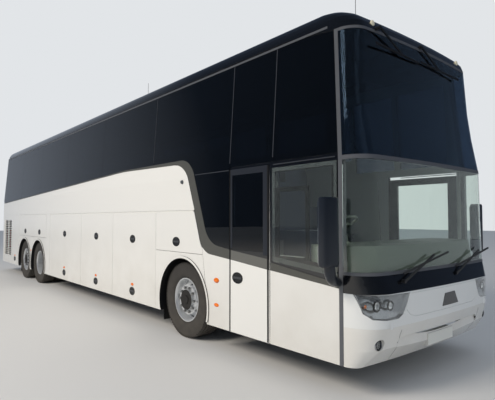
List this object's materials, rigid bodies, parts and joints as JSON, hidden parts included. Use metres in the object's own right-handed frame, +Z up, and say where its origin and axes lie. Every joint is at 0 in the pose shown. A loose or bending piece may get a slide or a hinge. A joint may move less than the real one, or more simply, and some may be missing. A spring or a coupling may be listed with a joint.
{
  "type": "coach bus",
  "caption": "Long three-axle high-floor coach with dark side glass, opening luggage doors, steering front wheels and twin drive wheels",
  "frame": {"origin": "on the ground under the middle of the bodywork's length and width", "axes": "+X forward, +Y to the bus's left, +Z up"},
  "size_m": [14.1, 3.225, 4.2602],
  "materials": {
    "white_paint": "gloss, dusty",
    "navy_paint": "gloss",
    "dark_glass": "tinted, glossy",
    "clear_glass": "clear, glossy",
    "grey_band": "satin metallic",
    "black_plastic": "satin",
    "lamp_lens": "clear lens",
    "red_lens": "red lens",
    "orange_lens": "orange lens",
    "alloy": "polished",
    "tyre": "dusty rubber",
    "rubber": "matt",
    "chassis_paint": "satin, dusty",
    "steel": "bare, worn",
    "iron": "rough",
    "floor_panel": "matt",
    "dash_plastic": "matt",
    "seat_fabric": "woven"
  },
  "bodies": {
    "body": {"antennas": "black_plastic", "arch_liners": "black_plastic", "cab_glass": "clear_glass", "chassis_frame": "chassis_paint", "dashboard": "dash_plastic", "drive_axle": "iron", "driver_seat": "seat_fabric", "engine": "iron", "engine_grilles": "black_plastic", "floor": "floor_panel", "front_axle": "iron", "front_bumper": "white_paint", "front_mask": "white_paint", "headlamps": "lamp_lens", "marker_lamps": "orange_lens", "mirrors": "black_plastic", "mud_flaps": "rubber", "passenger_door": "white_paint", "passenger_seats": "seat_fabric", "rear_wall": "white_paint", "roof": "navy_paint", "saloon_glass": "dark_glass", "screen_frame": "black_plastic", "side_wall_left": "white_paint", "side_wall_right": "white_paint", "tag_axle": "iron", "tail_lamps": "red_lens", "waist_bands": "grey_band", "windscreen_lower": "clear_glass", "windscreen_upper": "dark_glass", "wipers": "black_plastic"},
    "knuckle_left": {"knuckle_left": "iron"},
    "front_wheel_left": {"tyre_front_left": "tyre", "wheel_front_left": "alloy"},
    "drive_wheels_left": {"tyres_drive_left": "tyre", "wheels_drive_left": "alloy"},
    "tag_wheel_left": {"tyre_tag_left": "tyre", "wheel_tag_left": "alloy"},
    "hold_door_left_1": {"hold_door_left_1": "white_paint"},
    "hold_door_left_2": {"hold_door_left_2": "white_paint"},
    "hold_door_left_3": {"hold_door_left_3": "white_paint"},
    "front_arch_flap_left": {"front_arch_flap_left": "white_paint"},
    "rear_arch_flap_left": {"rear_arch_flap_left": "white_paint"},
    "knuckle_right": {"knuckle_right": "iron"},
    "front_wheel_right": {"tyre_front_right": "tyre", "wheel_front_right": "alloy"},
    "drive_wheels_right": {"tyres_drive_right": "tyre", "wheels_drive_right": "alloy"},
    "tag_wheel_right": {"tyre_tag_right": "tyre", "wheel_tag_right": "alloy"},
    "hold_door_right_1": {"hold_door_right_1": "white_paint"},
    "hold_door_right_2": {"hold_door_right_2": "white_paint"},
    "hold_door_right_3": {"hold_door_right_3": "white_paint"},
    "front_arch_flap_right": {"front_arch_flap_right": "white_paint"},
    "rear_arch_flap_right": {"rear_arch_flap_right": "white_paint"},
    "emergency_door": {"emergency_door": "white_paint", "emergency_door_glass": "dark_glass"},
    "engine_lid": {"engine_lid": "white_paint"},
    "roof_hatch_1": {"roof_hatch_1": "navy_paint"},
    "roof_hatch_2": {"roof_hatch_2": "navy_paint"}
  },
  "joints": [
    {"name": "steer_left", "type": "hinge", "parent": "body", "child": "knuckle_left", "pos_m": [3.95, 0.93, 0.515], "axis": [0, 0, 1], "range_deg": [-40, 40]},
    {"name": "roll_front_left", "type": "hinge", "parent": "knuckle_left", "child": "front_wheel_left", "pos_m": [3.95, 1.0975, 0.515], "axis": [0, 1, 0], "continuous": true},
    {"name": "roll_drive_left", "type": "hinge", "parent": "body", "child": "drive_wheels_left", "pos_m": [-3, 0.9275, 0.515], "axis": [0, 1, 0], "continuous": true},
    {"name": "roll_tag_left", "type": "hinge", "parent": "body", "child": "tag_wheel_left", "pos_m": [-4.3, 1.0975, 0.515], "axis": [0, 1, 0], "continuous": true},
    {"name": "open_hold_door_left_1", "type": "hinge", "parent": "body", "child": "hold_door_left_1", "pos_m": [-0.995, 1.266, 1.74], "axis": [1, 0, 0], "range_deg": [0, 85]},
    {"name": "open_hold_door_left_2", "type": "hinge", "parent": "body", "child": "hold_door_left_2", "pos_m": [0.82, 1.266, 1.74], "axis": [1, 0, 0], "range_deg": [0, 85]},
    {"name": "open_hold_door_left_3", "type": "hinge", "parent": "body", "child": "hold_door_left_3", "pos_m": [2.3865, 1.266, 1.74], "axis": [1, 0, 0], "range_deg": [0, 85]},
    {"name": "open_front_arch_flap_left", "type": "hinge", "parent": "body", "child": "front_arch_flap_left", "pos_m": [3.68, 1.266, 1.74], "axis": [1, 0, 0], "range_deg": [0, 85]},
    {"name": "open_rear_arch_flap_left", "type": "hinge", "parent": "body", "child": "rear_arch_flap_left", "pos_m": [-3.59, 1.266, 1.74], "axis": [1, 0, 0], "range_deg": [0, 85]},
    {"name": "steer_right", "type": "hinge", "parent": "body", "child": "knuckle_right", "pos_m": [3.95, -0.93, 0.515], "axis": [0, 0, 1], "range_deg": [-40, 40]},
    {"name": "roll_front_right", "type": "hinge", "parent": "knuckle_right", "child": "front_wheel_right", "pos_m": [3.95, -1.0975, 0.515], "axis": [0, 1, 0], "continuous": true},
    {"name": "roll_drive_right", "type": "hinge", "parent": "body", "child": "drive_wheels_right", "pos_m": [-3, -0.9275, 0.515], "axis": [0, 1, 0], "continuous": true},
    {"name": "roll_tag_right", "type": "hinge", "parent": "body", "child": "tag_wheel_right", "pos_m": [-4.3, -1.0975, 0.515], "axis": [0, 1, 0], "continuous": true},
    {"name": "open_hold_door_right_1", "type": "hinge", "parent": "body", "child": "hold_door_right_1", "pos_m": [-0.995, -1.266, 1.74], "axis": [-1, 0, 0], "range_deg": [0, 85]},
    {"name": "open_hold_door_right_2", "type": "hinge", "parent": "body", "child": "hold_door_right_2", "pos_m": [0.82, -1.266, 1.74], "axis": [-1, 0, 0], "range_deg": [0, 85]},
    {"name": "open_hold_door_right_3", "type": "hinge", "parent": "body", "child": "hold_door_right_3", "pos_m": [2.3865, -1.266, 1.74], "axis": [-1, 0, 0], "range_deg": [0, 85]},
    {"name": "open_front_arch_flap_right", "type": "hinge", "parent": "body", "child": "front_arch_flap_right", "pos_m": [3.68, -1.266, 1.74], "axis": [-1, 0, 0], "range_deg": [0, 85]},
    {"name": "open_rear_arch_flap_right", "type": "hinge", "parent": "body", "child": "rear_arch_flap_right", "pos_m": [-3.59, -1.266, 1.74], "axis": [-1, 0, 0], "range_deg": [0, 85]},
    {"name": "open_emergency_door", "type": "hinge", "parent": "body", "child": "emergency_door", "pos_m": [5.701, -1.266, 1.25], "axis": [0, 0, 1], "range_deg": [0, 90]},
    {"name": "open_engine_lid", "type": "hinge", "parent": "body", "child": "engine_lid", "pos_m": [-7.041, 0, 1.48], "axis": [0, 1, 0], "range_deg": [0, 75]},
    {"name": "open_roof_hatch_1", "type": "hinge", "parent": "body", "child": "roof_hatch_1", "pos_m": [2.42, 0, 3.791], "axis": [0, 1, 0], "range_deg": [0, 60]},
    {"name": "open_roof_hatch_2", "type": "hinge", "parent": "body", "child": "roof_hatch_2", "pos_m": [-3.28, 0, 3.791], "axis": [0, 1, 0], "range_deg": [0, 60]}
  ],
  "couplings": [
    {"joint": "steer_right", "follows": "steer_left", "ratio": 1}
  ]
}
